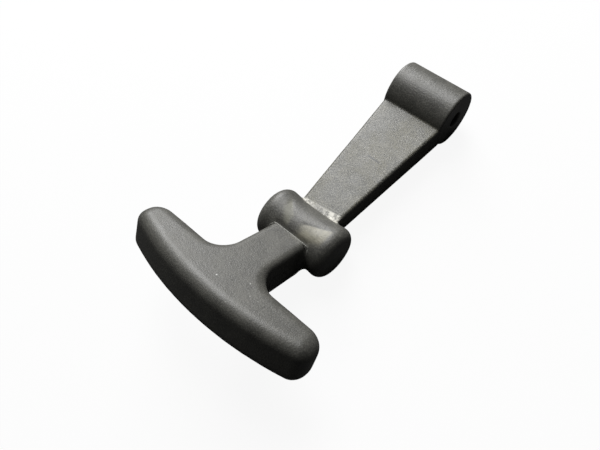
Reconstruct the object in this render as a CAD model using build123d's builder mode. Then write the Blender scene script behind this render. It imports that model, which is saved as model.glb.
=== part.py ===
"""Rubber T-handle draw latch: one moulded strap with a pin eye, a keeper bulb and a T-handle.

Millimetres.  The origin is the middle of the pin bore, X runs along the bore, the handle
points towards -Y, and +Z is up.  The strap lies level on its bulb and its pin eye.
"""
import math
import os

from build123d import *
from OCP.BRepFilletAPI import BRepFilletAPI_MakeFillet

# Pin eye
pin_diameter = 4.76
pin_clearance = 0.1
eye_radius = 9.0
eye_width = 21.6
eye_rim_chamfer = 0.4

# Strap between the eye and the bulb
bulb_distance = 59.6
strap_top_height = 2.8
strap_bulb_width = 11.9
strap_eye_width = 21.0
strap_bulb_thickness = 7.4
strap_eye_thickness = 8.7
strap_edge_fillet = 0.9

# Keeper bulb, a cross barrel with a waist
bulb_width = 25.6
bulb_end_radius = 8.6
bulb_waist_radius = 7.5
bulb_corner_fillet = 3.0
bulb_end_dome = 0.4

# T-handle, measured from the bulb's axis along the raised handle plane
handle_pitch = 31.4
handle_thickness = 12.4
handle_top_offset = 3.9
handle_reach = 41.8
crossbar_width = 60.0
crossbar_middle_depth = 14.5
crossbar_end_depth = 9.1
crossbar_outer_corner = 4.4
crossbar_inner_corner = 5.4
stem_bulb_width = 12.0
stem_root_width = 12.5
stem_root_fillet = 6.0
stem_end_gap = 8.2
stem_heel_fillet = 4.0

# Rounding of the handle's top rim and floor rim
stem_top_fillet = 2.0
grip_top_fillet = 4.8
end_top_fillet = 4.2
outer_top_fillet = 3.4
stem_floor_fillet = 1.2
grip_floor_fillet = 4.8
end_floor_fillet = 3.6
outer_floor_fillet = 3.0

# Places that follow from the sizes
bulb_height = bulb_end_radius - eye_radius
crease_distance = math.sqrt(eye_radius**2 - strap_top_height**2)
bulb_axis = (0, -bulb_distance, bulb_height)
pitch = math.radians(handle_pitch)
handle_up = (0, math.sin(pitch), math.cos(pitch))
grip_line = handle_reach - crossbar_middle_depth
end_line = grip_line + crossbar_end_depth

# The handle plane stands on the bulb's axis; its -y direction runs out along the handle
handle_plane = Plane(origin=bulb_axis, x_dir=(1, 0, 0), z_dir=handle_up)
handle_floor = handle_plane.offset(handle_top_offset - handle_thickness)

# Pin eye: a barrel across the end of the strap
with BuildPart() as eye:
    with BuildSketch(Plane.YZ):
        Circle(eye_radius)
    extrude(amount=eye_width / 2, both=True)
    chamfer(eye.edges().filter_by(GeomType.CIRCLE), eye_rim_chamfer)

# Strap: a flat bar that widens and thickens towards the eye
with BuildPart() as strap:
    with BuildSketch(Plane.XY.offset(-eye_radius)):
        with BuildLine():
            Polyline(
                (-strap_bulb_width / 2, -bulb_distance),
                (strap_bulb_width / 2, -bulb_distance),
                (strap_eye_width / 2, -crease_distance),
                (strap_eye_width / 2, 0),
                (-strap_eye_width / 2, 0),
                (-strap_eye_width / 2, -crease_distance),
                close=True,
            )
        make_face()
    extrude(amount=2 * eye_radius)
    with BuildSketch(Plane.YZ):
        with BuildLine():
            Polyline(
                (-bulb_distance, strap_top_height),
                (0, strap_top_height),
                (0, strap_top_height - strap_eye_thickness),
                (-bulb_distance, strap_top_height - strap_bulb_thickness),
                close=True,
            )
        make_face()
    extrude(amount=eye_width, both=True, mode=Mode.INTERSECT)
    long_edges = strap.edges() - strap.edges().filter_by(Plane.XZ)
    fillet(long_edges, strap_edge_fillet)

# Keeper bulb: turned about its own axis, waisted in the middle, domed at both ends
with BuildPart() as bulb:
    with BuildSketch(Plane(origin=bulb_axis, x_dir=(1, 0, 0), z_dir=(0, -1, 0))) as bulb_profile:
        corner = (bulb_width / 2 - bulb_end_dome, bulb_end_radius)
        with BuildLine():
            Line((-bulb_width / 2, 0), (bulb_width / 2, 0))
            TangentArc((bulb_width / 2, 0), corner, tangent=(0, 1))
            ThreePointArc(corner, (0, bulb_waist_radius), (-corner[0], corner[1]))
            TangentArc((-bulb_width / 2, 0), (-corner[0], corner[1]), tangent=(0, 1))
        make_face()
        fillet(bulb_profile.vertices().group_by(Axis.Y)[-1], bulb_corner_fillet)
    revolve(axis=Axis(bulb_axis, (1, 0, 0)))

# Handle: stem and bowed crossbar from one outline, rounded along every long edge
with BuildPart() as handle:
    with BuildSketch(handle_floor) as handle_outline:
        with BuildLine():
            ThreePointArc(
                (-crossbar_width / 2, -end_line),
                (0, -handle_reach),
                (crossbar_width / 2, -end_line),
            )
            Polyline(
                (crossbar_width / 2, -end_line),
                (crossbar_width / 2, -grip_line),
                (stem_root_width / 2, -grip_line),
                (stem_bulb_width / 2, 0),
                (-stem_bulb_width / 2, 0),
                (-stem_root_width / 2, -grip_line),
                (-crossbar_width / 2, -grip_line),
                (-crossbar_width / 2, -end_line),
            )
        make_face()
        grip_corners = handle_outline.vertices().group_by(Axis.Y)[1].sort_by(Axis.X)
        fillet(grip_corners[1:-1], stem_root_fillet)
        grip_corners = handle_outline.vertices().group_by(Axis.Y)[1].sort_by(Axis.X)
        fillet([grip_corners[0], grip_corners[-1]], crossbar_inner_corner)
        fillet(handle_outline.vertices().group_by(Axis.Y)[0], crossbar_outer_corner)
    extrude(amount=handle_thickness)
    handle_rise = Axis(bulb_axis, handle_up)
    heel_face = handle.faces().sort_by(Axis(bulb_axis, handle_plane.y_dir))[-1]
    fillet(heel_face.edges().sort_by(handle_rise)[0], stem_heel_fillet)
    rims = handle.faces().filter_by(handle_plane).sort_by(handle_rise)


def rim_radius(corner, radii):
    """Radius of a rim at a point where two runs of the outline meet."""
    stem_radius, grip_radius, end_radius, outer_radius = radii
    place = handle_plane.to_local_coords(corner)
    if -place.Y < grip_line - 0.01:
        return stem_radius
    if -place.Y < grip_line + 0.01:
        return grip_radius
    if abs(place.X) > crossbar_width / 2 - 0.01:
        return end_radius
    return outer_radius


def round_rims(blank, top_radii, floor_radii):
    """Round both rims, each radius growing into the next along the outline's corners."""
    rounding = BRepFilletAPI_MakeFillet(blank.wrapped)
    for rim, radii in ((rims[-1], top_radii), (rims[0], floor_radii)):
        rounding.Add(radii[-1], rim.edges().sort_by(SortBy.LENGTH)[-1].wrapped)
        contour = rounding.NbContours()
        count = rounding.NbEdges(contour)
        runs = [Edge(rounding.Edge(contour, number)) for number in range(1, count + 1)]
        meets = [min((a @ 0, a @ 1), key=b.distance_to) for a, b in zip(runs, runs[1:])]
        sizes = [radii[0]] + [rim_radius(corner, radii) for corner in meets] + [radii[0]]
        for number in range(1, count + 1):
            rounding.SetRadius(sizes[number - 1], sizes[number], contour, number)
    return Part(rounding.Shape()).solid()


rounded_handle = round_rims(
    handle.solid(),
    (stem_top_fillet, grip_top_fillet, end_top_fillet, outer_top_fillet),
    (stem_floor_fillet, grip_floor_fillet, end_floor_fillet, outer_floor_fillet),
)

# The stem stops in a step that stands proud of the bulb's waist
step_top = handle_plane.from_local_coords((0, -stem_end_gap, handle_top_offset))
step_rise = step_top - Vector(*bulb_axis)
step_plane = Plane(origin=bulb_axis, x_dir=(1, 0, 0), z_dir=Vector(1, 0, 0).cross(step_rise))

# One moulding
with BuildPart() as latch:
    add(rounded_handle)
    split(bisect_by=step_plane, keep=Keep.TOP)
    add(bulb.part)
    add(strap.part)
    add(eye.part)
    with BuildSketch(Plane.YZ):
        Circle((pin_diameter + pin_clearance) / 2)
    extrude(amount=eye_width, both=True, mode=Mode.SUBTRACT)

os.makedirs("parts", exist_ok=True)
latch.part.label = "draw_latch"
export_step(latch.part, "parts/draw_latch.step")
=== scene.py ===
import math
import bpy
import numpy as np
from mathutils import Matrix, Vector, noise
from mathutils.bvhtree import BVHTree


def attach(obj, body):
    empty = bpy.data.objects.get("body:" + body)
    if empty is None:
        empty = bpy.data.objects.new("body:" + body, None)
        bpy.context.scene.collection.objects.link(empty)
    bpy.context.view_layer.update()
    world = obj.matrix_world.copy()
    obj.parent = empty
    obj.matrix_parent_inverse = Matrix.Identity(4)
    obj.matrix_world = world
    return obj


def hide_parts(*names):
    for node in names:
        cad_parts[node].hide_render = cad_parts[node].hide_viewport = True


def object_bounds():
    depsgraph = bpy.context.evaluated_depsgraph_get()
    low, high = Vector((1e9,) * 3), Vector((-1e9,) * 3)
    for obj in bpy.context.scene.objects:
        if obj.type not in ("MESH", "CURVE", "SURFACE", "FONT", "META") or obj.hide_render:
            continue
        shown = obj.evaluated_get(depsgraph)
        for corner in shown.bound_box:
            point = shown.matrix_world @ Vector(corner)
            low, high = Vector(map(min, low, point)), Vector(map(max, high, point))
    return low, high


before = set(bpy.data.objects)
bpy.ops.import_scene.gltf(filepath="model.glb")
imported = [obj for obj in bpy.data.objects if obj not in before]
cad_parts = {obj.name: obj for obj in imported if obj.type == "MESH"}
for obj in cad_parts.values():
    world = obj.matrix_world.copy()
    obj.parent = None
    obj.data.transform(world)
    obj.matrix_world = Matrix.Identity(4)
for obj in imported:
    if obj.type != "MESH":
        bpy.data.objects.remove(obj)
CAD_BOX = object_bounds()
scene = bpy.context.scene
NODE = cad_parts["draw_latch"]
MM = 0.001

# ---- colours of the rubber, linear
BODY_DARK, BODY_PALE = (0.080, 0.079, 0.071), (0.112, 0.110, 0.097)
# the strap's paler tone is partly a real bloom and partly painted light on its lit, up-facing top
STRAP_GREY, STRAP_WARM = (0.105, 0.105, 0.088), (0.146, 0.137, 0.086)
GRAIN_PALE, GRAIN_DARK = (0.225, 0.219, 0.192), (0.068, 0.068, 0.063)
# the strip where the strap meets the bulb is partly a scuff and partly a painted highlight
SCUFF_AND_HIGHLIGHT = (0.78, 0.76, 0.68)
FOLD = (0.36, 0.35, 0.31)
# painted highlights on the bulb's top
BULB_HIGHLIGHT_RIGHT, BULB_HIGHLIGHT_LEFT = (0.285, 0.270, 0.210), (0.190, 0.187, 0.148)
SCRATCH = (0.045, 0.045, 0.050)
SPECK = (0.62, 0.62, 0.60)
# pale dust on up-facing faces; the same colour also paints the glint along the stem's end rim
PALE_DUST_AND_GLINT = (0.34, 0.34, 0.31)

# ---- noise textures of the rubber: scale per metre, detail, roughness
MOTTLE = (190.0, 4.0, 0.6)
FINE_GRAIN = (2800.0, 1.0, 0.5)
# blotchy noise that shapes the scuffs and the painted highlights
BLOTCH_NOISE = (700.0, 3.0, 0.6)
WARMTH = (130.0, 2.0, 0.5)
RELIEF = (420.0, 3.0, 0.5)
PEBBLE_SCALE = 1250.0
DUST_SCALE = 420.0
BUMP_STRENGTH = 0.70
BUMP_DISTANCE = 0.045 * MM
SPECULAR_LEVEL = 0.7
# how strongly the grain colours the body, and what the strap and the bulb add to that
BODY_GRAIN, STRAP_GRAIN, BULB_GRAIN = 0.26, 0.78, 0.14

# ---- places on the latch, in mm. Four values are a band: start, full, end, clear
STRAP_TOP_Z = (2.2, 2.7, 3.0, 3.4)
STRAP_Y = (-52.6, -51.5, -8.5, -8.2)
BULB_TOP_Z = (4.5, 7.0)
BULB_BACK_Y = (-68.0, -66.0)
# lines in plan: a point on the line and its direction
SCUFF_LINE = ((0.0, -50.70), (1.0, 0.13))
DENT_RIGHT = ((0.8, -60.2), (4.7, 1.8))
DENT_LEFT = ((-5.6, -57.3), (2.6, -2.4))
SCRATCH_Y = (-29.25, -29.05, -28.75, -28.55)
SCRATCH_X = (-1.6, -0.6, 2.6, 3.6)
# pale specks: place and radius in mm, how pale
SPECKS = (
    (-0.10, -88.25, 21.66, 0.26, 1.0),
    (6.86, -84.25, 19.22, 0.24, 0.6),
    (9.60, -86.90, 20.80, 0.20, 0.4),
    (-16.0, -90.5, 22.8, 0.20, 0.35),
    (3.2, -36.4, 2.8, 0.20, 0.35),
    (-4.4, -18.2, 2.8, 0.22, 0.30),
)

# ---- the skin's shape
VOXEL = 0.34 * MM
PITCH = math.radians(31.4)
BULB_AXIS = np.array((0.0, -59.6, -0.4)) * MM
HANDLE_UP = np.array((0.0, math.sin(PITCH), math.cos(PITCH)))
HANDLE_OUT = np.array((0.0, -math.cos(PITCH), math.sin(PITCH)))
BULB_RADIUS = 8.6 * MM
BULB_TOP_HALF = 6.0 * MM
STEM_HALF = 6.2 * MM
NOTCH_DEPTH = 0.75 * MM
DENT_DEPTH_RIGHT, DENT_DEPTH_LEFT = 0.12 * MM, 0.11 * MM
WAVE_HEIGHT = 0.035  # in mm

# ---- flash: out, rise, x in mm from the bulb's axis, and 1 to lay the point on the body
CORNER_FLASH = (
    (18.9, -1.3, 6.2, 1), (19.7, -1.95, 6.2, 1), (20.6, -2.95, 6.6, 1),
    (20.5, -4.2, 6.6, 1), (20.1, -5.3, 6.5, 1), (19.1, -6.8, 6.3, 1),
)
SIDE_FLASH = (
    (18.6, -2.1, 6.3, 1), (17.3, -1.55, 6.3, 1), (16.2, -1.8, 6.3, 1), (15.2, -2.25, 6.3, 1),
)
RIM_MIDDLE = (8.20, 3.82, 0.0, 0)
RIM_END = (
    (8.18, 3.80, 3.6, 0), (8.14, 3.74, 4.9, 0), (7.95, 3.35, 5.75, 0),
    (7.65, 2.6, 6.35, 1), (7.6, 1.8, 6.8, 1), (7.8, 1.0, 7.1, 1),
)
CORNER_RADIUS, SIDE_RADIUS, RIM_RADIUS = 0.10, 0.08, 0.19
TIP_TAPER = 0.3

# ---- studio
FLOOR_HALF = 1.2
FLOOR_PALE, FLOOR_DULL = (0.9, 0.9, 0.9, 1.0), (0.07, 0.07, 0.07, 1.0)
FLOOR_GLOW = 0.92
WHITE = (1.0, 1.0, 1.0, 1.0)
WORLD_LIGHT = 0.012
LAMP_TARGET = (0.0, -0.05, 0.0)
LAMP_SIZE = 0.35
CAMERA_PLACE = Vector((55.82, -104.97, 141.79)) * MM
CAMERA_RIGHT = Vector((0.74257, 0.66407, -0.08719)).normalized()
CAMERA_FORWARD = Vector((-0.36318, 0.28985, -0.88549))


def rubber(name, rubbed_and_glinting=False):
    """Black moulded rubber: a pebbly grain, a bloom on the strap that is partly painted light,
    light scuffs that are partly a painted highlight, painted highlights on the bulb and a few
    specks; optionally a pale colour that is partly a painted glint.
    """
    mat = bpy.data.materials.new(name)
    mat.use_nodes = True
    nt = mat.node_tree
    nt.nodes.clear()
    new = nt.nodes.new
    link = nt.links.new

    def value(socket, v):
        if hasattr(v, "is_output"):
            link(v, socket)
        else:
            socket.default_value = v

    def math_node(op, a, b=0.0):
        n = new("ShaderNodeMath")
        n.operation = op
        value(n.inputs[0], a)
        value(n.inputs[1], b)
        return n.outputs["Value"]

    def times(*fields):
        out = fields[0]
        for f in fields[1:]:
            out = math_node("MULTIPLY", out, f)
        return out

    def grain(scale, detail, rough):
        n = new("ShaderNodeTexNoise")
        n.inputs["Scale"].default_value = scale
        n.inputs["Detail"].default_value = detail
        n.inputs["Roughness"].default_value = rough
        link(place, n.inputs["Vector"])
        return n.outputs["Fac"]

    def cells(scale):
        n = new("ShaderNodeTexVoronoi")
        n.inputs["Scale"].default_value = scale
        link(place, n.inputs["Vector"])
        return n.outputs

    def ramp(v, low, high, out_low=0.0, out_high=1.0):
        n = new("ShaderNodeMapRange")
        n.interpolation_type = "SMOOTHSTEP"
        value(n.inputs["Value"], v)
        n.inputs["From Min"].default_value = low
        n.inputs["From Max"].default_value = high
        n.inputs["To Min"].default_value = out_low
        n.inputs["To Max"].default_value = out_high
        return n.outputs["Result"]

    def ramp_mm(v, low, high, out_low=0.0, out_high=1.0):
        return ramp(v, low * MM, high * MM, out_low, out_high)

    def band(v, start, full, end, clear):
        """1 between full and end, in mm, fading to 0 at start and clear."""
        return times(ramp_mm(v, start, full), ramp_mm(v, end, clear, 1.0, 0.0))

    def mixed(fac, a, b):
        n = new("ShaderNodeMix")
        n.data_type = "RGBA"
        value(n.inputs["Factor"], fac)
        for socket, v in ((n.inputs["A"], a), (n.inputs["B"], b)):
            if isinstance(v, tuple):
                socket.default_value = v + (1.0,)
            else:
                link(v, socket)
        return n.outputs["Result"]

    def across(line):
        """Signed distance in plan from a line, positive on the strap's side."""
        (px, py), (dx, dy) = line
        size = math.hypot(dx, dy)
        a = math_node("MULTIPLY", math_node("SUBTRACT", x, px * MM), -dy / size)
        b = math_node("MULTIPLY", math_node("SUBTRACT", y, py * MM), dx / size)
        return math_node("ADD", a, b)

    def ragged(v, amount):
        return math_node("ADD", v, times(wander, amount))

    def spot(px, py, pz, inner, outer):
        n = new("ShaderNodeVectorMath")
        n.operation = "DISTANCE"
        link(place, n.inputs[0])
        n.inputs[1].default_value = (px * MM, py * MM, pz * MM)
        return ramp_mm(n.outputs["Value"], inner, outer, 1.0, 0.0)

    # fields in the latch's own coordinates
    place = new("ShaderNodeTexCoord").outputs["Object"]
    split = new("ShaderNodeSeparateXYZ")
    link(place, split.inputs["Vector"])
    x, y, z = split.outputs["X"], split.outputs["Y"], split.outputs["Z"]
    turned = new("ShaderNodeSeparateXYZ")
    link(new("ShaderNodeNewGeometry").outputs["Normal"], turned.inputs["Vector"])
    mottle = grain(*MOTTLE)
    fine = grain(*FINE_GRAIN)
    blotches = grain(*BLOTCH_NOISE)
    wander = times(math_node("SUBTRACT", blotches, 0.5), 1.2 * MM)
    facing_up = ramp(turned.outputs["Z"], 0.5, 0.8)
    on_top = times(band(z, *STRAP_TOP_Z), facing_up)
    strap_top = times(band(y, *STRAP_Y), on_top)
    bulb_top = ramp_mm(z, *BULB_TOP_Z)
    on_bulb = times(bulb_top, ramp_mm(y, *BULB_BACK_Y))

    # colour: mottled warm black, with a paler bloom on the strap that is partly painted light on
    # its lit, up-facing top, and a speckled grain
    colour = mixed(ramp(mottle, 0.32, 0.68), BODY_DARK, BODY_PALE)
    bloom_and_light = times(strap_top, ramp(mottle, 0.2, 0.75, 0.55, 1.0))
    strap_tone = mixed(ramp(grain(*WARMTH), 0.38, 0.62), STRAP_GREY, STRAP_WARM)
    colour = mixed(bloom_and_light, colour, strap_tone)
    more = math_node("MAXIMUM", times(strap_top, STRAP_GRAIN), times(on_bulb, BULB_GRAIN))
    grainy = math_node("ADD", BODY_GRAIN, more)
    colour = mixed(times(ramp(fine, 0.50, 0.62), grainy), colour, GRAIN_PALE)
    colour = mixed(times(ramp(fine, 0.50, 0.38), grainy), colour, GRAIN_DARK)

    # a near-white strip where the strap meets the bulb, partly a scuff and partly a painted
    # highlight, palest at its ends, and a fine fold beside it, on the strap's side
    edge = ragged(across(SCUFF_LINE), 0.5)
    scuffed_and_lit = times(on_top, ramp_mm(edge, 0.15, -0.45), ramp_mm(y, -53.6, -53.0))
    from_middle = math_node("ABSOLUTE", math_node("ADD", x, 0.6 * MM))
    ends = ramp_mm(from_middle, 1.0, 4.6, 0.35, 1.0)
    colour = mixed(times(scuffed_and_lit, ends, ramp(blotches, 0.36, 0.60, 0.15, 1.0)), colour, SCUFF_AND_HIGHLIGHT)
    fold = times(on_top, band(edge, 0.35, 0.45, 0.50, 0.62), ramp_mm(x, 1.0, 2.5))
    colour = mixed(times(fold, 0.45), colour, FOLD)

    # painted highlights on the bulb's top, below two dents across it
    below = band(ragged(across(DENT_RIGHT), 0.35), -6.0, -3.0, -0.10, 0.20)
    patch = times(bulb_top, below, band(x, -0.6, 3.2, 8.6, 9.6))
    painted_highlight = times(patch, ramp(blotches, 0.25, 0.60, 0.55, 1.0))
    colour = mixed(painted_highlight, colour, BULB_HIGHLIGHT_RIGHT)
    below = band(across(DENT_LEFT), -3.6, -1.6, -0.05, 0.45)
    patch = times(bulb_top, below, band(x, -8.0, -5.8, -3.4, -2.0))
    painted_highlight = times(patch, ramp(blotches, 0.25, 0.60, 0.50, 1.0))
    colour = mixed(painted_highlight, colour, BULB_HIGHLIGHT_LEFT)

    # a scratch on the strap, a few pale specks and dust
    scratch = times(on_top, band(ragged(y, 0.15), *SCRATCH_Y), band(x, *SCRATCH_X))
    colour = mixed(times(scratch, 0.9), colour, SCRATCH)
    for px, py, pz, size, amount in SPECKS:
        colour = mixed(times(spot(px, py, pz, size * 0.5, size), amount), colour, SPECK)
    dust = cells(DUST_SCALE)
    shade = new("ShaderNodeSeparateColor")
    link(dust["Color"], shade.inputs["Color"])
    chosen = ramp(shade.outputs["Red"], 0.88, 0.94)
    dusty = times(ramp(dust["Distance"], 0.05, 0.09, 1.0, 0.0), chosen, facing_up)
    colour = mixed(times(dusty, 0.55), colour, PALE_DUST_AND_GLINT)
    # the rim's pale colour: partly abrasion and partly a painted glint along its edge
    if rubbed_and_glinting:
        colour = mixed(ramp(fine, 0.35, 0.65, 0.55, 0.85), colour, PALE_DUST_AND_GLINT)

    # relief: pebbles, fine grain and a broader unevenness
    height = math_node("ADD", times(cells(PEBBLE_SCALE)["Distance"], 0.6), times(fine, 1.5))
    height = math_node("ADD", height, times(grain(*RELIEF), 1.2))
    bump = new("ShaderNodeBump")
    bump.inputs["Strength"].default_value = BUMP_STRENGTH
    bump.inputs["Distance"].default_value = BUMP_DISTANCE
    link(height, bump.inputs["Height"])

    rough = math_node("ADD", ramp(mottle, 0.3, 0.7, 0.41, 0.50), times(fine, 0.06))
    bsdf = new("ShaderNodeBsdfPrincipled")
    link(colour, bsdf.inputs["Base Color"])
    link(rough, bsdf.inputs["Roughness"])
    bsdf.inputs["Specular IOR Level"].default_value = SPECULAR_LEVEL
    link(bump.outputs["Normal"], bsdf.inputs["Normal"])
    out = new("ShaderNodeOutputMaterial")
    link(bsdf.outputs["BSDF"], out.inputs["Surface"])
    return mat


RUBBER = rubber("rubber_black")
# rubber for the stem's end rim, paled by abrasion and by a painted glint
RUBBER_GLINTING = rubber("rubber_rubbed_and_glinting", rubbed_and_glinting=True)


# ---- the moulding: the CAD shape with softened creases, blended joints and slight waves
def smoothstep(value, low, high):
    t = np.clip((value - low) / (high - low), 0.0, 1.0)
    return t * t * (3.0 - 2.0 * t)


def fade_in(v, low, high):
    """0 below low and 1 above high, both in mm."""
    return smoothstep(v, low * MM, high * MM)


def fade_out(v, low, high):
    return 1.0 - fade_in(v, low, high)


def from_bulb(co):
    """Places from the bulb's axis, and how far out along the handle and up from it they are."""
    rel = co - BULB_AXIS
    return rel, rel @ HANDLE_OUT, rel @ HANDLE_UP


def neighbour_mean(mesh):
    """A function that gives the mean over each vertex's neighbours."""
    edges = np.empty(len(mesh.edges) * 2, dtype=np.int64)
    mesh.edges.foreach_get("vertices", edges)
    edges = edges.reshape(-1, 2)
    a = np.concatenate((edges[:, 0], edges[:, 1]))
    b = np.concatenate((edges[:, 1], edges[:, 0]))
    count = np.bincount(a, minlength=len(mesh.vertices))

    def mean(values):
        total = [np.bincount(a, values[b, k], minlength=len(count)) for k in range(3)]
        return np.stack(total, 1) / count[:, None]

    return mean


def surface_tree(mesh):
    polys = [tuple(p.vertices) for p in mesh.polygons]
    return BVHTree.FromPolygons([v.co for v in mesh.vertices], polys)


def voxel_skin():
    """An object with an even mesh over the CAD node."""
    mesh = NODE.data.copy()
    obj = bpy.data.objects.new("moulded_latch", mesh)
    scene.collection.objects.link(obj)
    remesh = obj.modifiers.new("remesh", "REMESH")
    remesh.mode = "VOXEL"
    remesh.voxel_size = VOXEL
    remesh.use_smooth_shade = True
    graph = bpy.context.evaluated_depsgraph_get()
    fine = bpy.data.meshes.new_from_object(obj.evaluated_get(graph))
    fine.name = "moulded_latch"
    obj.modifiers.clear()
    obj.data = fine
    bpy.data.meshes.remove(mesh)
    return obj


def follow_cad(co, mean):
    """Smooths the voxels away and goes back onto the CAD surface, except at softened edges."""
    for _ in range(6):
        co += 0.5 * (mean(co) - co)
    tree = surface_tree(NODE.data)
    near = np.array([tree.find_nearest(Vector(p))[0] for p in co])
    gap = np.linalg.norm(near - co, axis=1)
    snap = fade_out(gap, 0.10, 0.22)
    # the step at the stem's end stays crisp
    rel, out, rise = from_bulb(co)
    at_step = fade_in(out, 6.4, 7.0) * fade_out(out, 9.0, 9.6)
    at_step *= fade_in(rise, 0.0, 1.2) * fade_out(np.abs(rel[:, 0]), 7.0, 8.0)
    snap = np.maximum(snap, at_step)
    co += (near - co) * snap[:, None]
    for _ in range(2):
        co += 0.3 * (1.0 - 0.8 * at_step)[:, None] * (mean(co) - co)


def hollow_joint(co, mean):
    """The joint between stem and bulb runs out in a soft hollow at its sides and below."""
    rel, out, rise = from_bulb(co)
    radial = np.hypot(rel[:, 1], rel[:, 2])
    side = np.abs(rel[:, 0])
    joint = fade_out(np.abs(radial - BULB_RADIUS + 0.6 * MM), 0.8, 2.6)
    joint *= fade_in(out, 1.0, 3.0)
    joint *= fade_out(np.abs(side - STEM_HALF), 1.2, 2.8)
    joint *= fade_out(rise, 0.6, 2.6)
    under = fade_out(np.abs(radial - BULB_RADIUS + 0.4 * MM), 0.8, 2.6)
    beside = 1.0 - smoothstep(side, STEM_HALF, STEM_HALF + 2.0 * MM)
    under *= beside * fade_out(rise, -5.0, -3.0)
    weight = np.maximum(joint, under)[:, None]
    for _ in range(60):
        co += 0.6 * weight * (mean(co) - co)


def carve_notch(co):
    """The stem's end stands clear of the bulb: the slope behind it is carved deeper."""
    rel, out, rise = from_bulb(co)
    notch = fade_in(out, 6.3, 6.9) * fade_out(out, 7.75, 8.1)
    notch *= fade_in(rise, 1.8, 2.6) * fade_out(np.abs(rel[:, 0]), 5.2, 6.4)
    co -= HANDLE_UP * (NOTCH_DEPTH * notch)[:, None]


def dent(co, line, reach):
    """A dent on the bulb's top: steep on the strap's side of the line, easing toward the handle."""
    (px, py), (dx, dy) = line
    away = ((co[:, 1] - py * MM) * dx - (co[:, 0] - px * MM) * dy) / math.hypot(dx, dy)
    depth = fade_out(away, 0.0, 0.9) * fade_in(away, -3.0, 0.0)
    depth *= fade_in(co[:, 0], *reach[:2]) * fade_out(co[:, 0], *reach[2:])
    on_bulb = np.abs(co[:, 1] - BULB_AXIS[1]) < BULB_TOP_HALF
    return depth * fade_in(co[:, 2], *BULB_TOP_Z) * on_bulb


def wave(p):
    """The slight unevenness of a moulded rubber face."""
    broad = noise.noise(Vector(p) * 130.0)
    return broad + 0.5 * noise.noise(Vector(p) * 300.0 + Vector((7, 3, 1)))


def moulded_body():
    """The latch as one fine skin that follows the CAD surface and is soft where its parts meet."""
    obj = voxel_skin()
    fine = obj.data
    co = np.empty(len(fine.vertices) * 3)
    fine.vertices.foreach_get("co", co)
    co = co.reshape(-1, 3)
    mean = neighbour_mean(fine)
    follow_cad(co, mean)
    hollow_joint(co, mean)
    carve_notch(co)

    fine.vertices.foreach_set("co", co.ravel())
    fine.update()
    normal = np.empty(len(co) * 3)
    fine.vertex_normals.foreach_get("vector", normal)
    normal = normal.reshape(-1, 3)
    dents = -DENT_DEPTH_RIGHT * dent(co, DENT_RIGHT, (-0.4, 1.6, 6.8, 8.6))
    dents += -DENT_DEPTH_LEFT * dent(co, DENT_LEFT, (-8.0, -6.0, -3.2, -1.6))
    co += normal * dents[:, None]
    waves = np.array([wave(p) for p in co])
    co += normal * (waves * WAVE_HEIGHT * MM)[:, None]
    co = np.clip(co, np.array(CAD_BOX[0]), np.array(CAD_BOX[1]))
    fine.vertices.foreach_set("co", co.ravel())
    fine.update()
    return obj


body = moulded_body()
body.data.materials.clear()
body.data.materials.append(RUBBER)
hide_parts("draw_latch")
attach(body, "root")


def flash_line(name, path, radius, material):
    """A thin round line of rubber along path."""
    tree = surface_tree(body.data)
    points = []
    for out, rise, side, snap in path:
        guess = BULB_AXIS + HANDLE_OUT * out * MM + HANDLE_UP * rise * MM
        guess = guess + np.array((side, 0.0, 0.0)) * MM
        points.append(tree.find_nearest(Vector(guess))[0] if snap else Vector(guess))
    curve = bpy.data.curves.new(name, "CURVE")
    curve.dimensions = "3D"
    curve.bevel_depth = radius * MM
    curve.bevel_resolution = 3
    curve.resolution_u = 10
    curve.use_fill_caps = True
    spline = curve.splines.new("BEZIER")
    spline.bezier_points.add(len(points) - 1)
    for knot, point in zip(spline.bezier_points, points):
        knot.co = point
        knot.handle_left_type = knot.handle_right_type = "AUTO"
    spline.bezier_points[0].radius = spline.bezier_points[-1].radius = TIP_TAPER
    shape = bpy.data.objects.new(name, curve)
    scene.collection.objects.link(shape)
    graph = bpy.context.evaluated_depsgraph_get()
    mesh = bpy.data.meshes.new_from_object(shape.evaluated_get(graph))
    mesh.name = name
    bpy.data.objects.remove(shape)
    bpy.data.curves.remove(curve)
    mesh.materials.clear()
    mesh.materials.append(material)
    for poly in mesh.polygons:
        poly.use_smooth = True
    line = bpy.data.objects.new(name, mesh)
    scene.collection.objects.link(line)
    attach(line, "root")


def mirrored(path):
    return tuple((out, rise, -x, snap) for out, rise, x, snap in path)


for kind, path, radius in (
    ("corner", CORNER_FLASH, CORNER_RADIUS),
    ("side", SIDE_FLASH, SIDE_RADIUS),
):
    flash_line("flash_%s_right" % kind, path, radius, RUBBER)
    flash_line("flash_%s_left" % kind, mirrored(path), radius, RUBBER)
rim = mirrored(RIM_END)[::-1] + (RIM_MIDDLE,) + RIM_END
flash_line("stem_end_rim", rim, RIM_RADIUS, RUBBER_GLINTING)

# ---- floor
low = CAD_BOX[0][2]
floor_mesh = bpy.data.meshes.new("floor")
corners = [
    (-FLOOR_HALF, -FLOOR_HALF, low), (FLOOR_HALF, -FLOOR_HALF, low),
    (FLOOR_HALF, FLOOR_HALF, low), (-FLOOR_HALF, FLOOR_HALF, low),
]
floor_mesh.from_pydata(corners, [], [(0, 1, 2, 3)])
floor = bpy.data.objects.new("floor", floor_mesh)
scene.collection.objects.link(floor)


def diffuse(nt, colour):
    n = nt.nodes.new("ShaderNodeBsdfDiffuse")
    n.inputs["Color"].default_value = colour
    return n.outputs["BSDF"]


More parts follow.
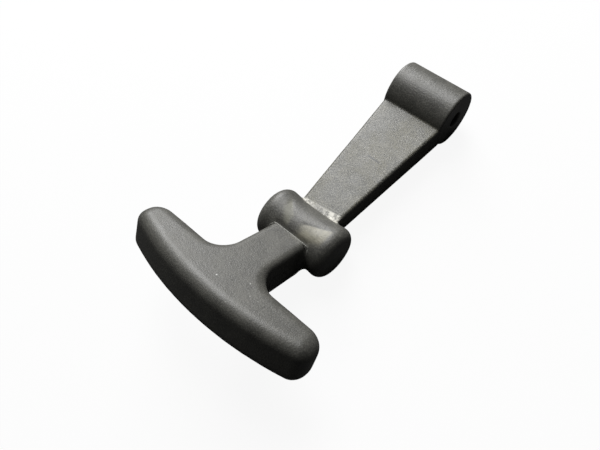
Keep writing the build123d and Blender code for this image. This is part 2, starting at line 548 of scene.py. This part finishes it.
def mixed_shader(nt, fac, a, b):
    """Shader a where fac is 0 and b where it is 1. A number goes onto the socket itself."""
    n = nt.nodes.new("ShaderNodeMixShader")
    if isinstance(fac, float):
        n.inputs["Fac"].default_value = fac
    else:
        nt.links.new(fac, n.inputs["Fac"])
    nt.links.new(a, n.inputs[1])
    nt.links.new(b, n.inputs[2])
    return n.outputs["Shader"]


def camera_ray(nt):
    return nt.nodes.new("ShaderNodeLightPath").outputs["Is Camera Ray"]


def floor_material():
    """White to the camera, with a faint shadow; dull to other rays, so little light comes up."""
    mat = bpy.data.materials.new("floor_white")
    mat.use_nodes = True
    nt = mat.node_tree
    nt.nodes.clear()
    white = nt.nodes.new("ShaderNodeEmission")
    white.inputs["Color"].default_value = WHITE
    white.inputs["Strength"].default_value = 1.0
    seen = mixed_shader(nt, FLOOR_GLOW, diffuse(nt, FLOOR_PALE), white.outputs["Emission"])
    out = nt.nodes.new("ShaderNodeOutputMaterial")
    surface = mixed_shader(nt, camera_ray(nt), diffuse(nt, FLOOR_DULL), seen)
    nt.links.new(surface, out.inputs["Surface"])
    return mat


floor_mesh.materials.append(floor_material())

# ---- world: white to the camera, and a dim even light on the object
world = bpy.data.worlds.new("studio")
world.use_nodes = True
world_nodes = world.node_tree
world_nodes.nodes.clear()


def background(strength):
    n = world_nodes.nodes.new("ShaderNodeBackground")
    n.inputs["Color"].default_value = WHITE
    n.inputs["Strength"].default_value = strength
    return n.outputs["Background"]


world_out = world_nodes.nodes.new("ShaderNodeOutputWorld")
sky = mixed_shader(world_nodes, camera_ray(world_nodes), background(WORLD_LIGHT), background(1.0))
world_nodes.links.new(sky, world_out.inputs["Surface"])
scene.world = world


def lamp(name, position, power):
    """A soft square area lamp, metres and watts, aimed at the latch."""
    data = bpy.data.lights.new(name, "AREA")
    data.shape = "SQUARE"
    data.size = LAMP_SIZE
    data.energy = power
    obj = bpy.data.objects.new(name, data)
    scene.collection.objects.link(obj)
    obj.location = position
    aim = Vector(LAMP_TARGET) - Vector(position)
    obj.rotation_euler = aim.to_track_quat("-Z", "Y").to_euler()


lamp("key_high", (-0.2475, 0.1975, 0.6062), 3.2)
lamp("key_low", (-0.4287, 0.3787, 0.3500), 4.1)

# ---- camera
cam_data = bpy.data.cameras.new("camera")
cam_data.sensor_width = 36.0
cam_data.lens = 33.0
cam_data.clip_start = 0.01
cam_data.clip_end = 10.0
camera = bpy.data.objects.new("camera", cam_data)
scene.collection.objects.link(camera)
forward = CAMERA_FORWARD - CAMERA_RIGHT * CAMERA_FORWARD.dot(CAMERA_RIGHT)
forward.normalize()
up = CAMERA_RIGHT.cross(forward)
turn = Matrix((CAMERA_RIGHT, up, -forward)).transposed().to_4x4()
camera.matrix_world = Matrix.Translation(CAMERA_PLACE) @ turn
scene.camera = camera

scene.view_settings.view_transform = "Standard"
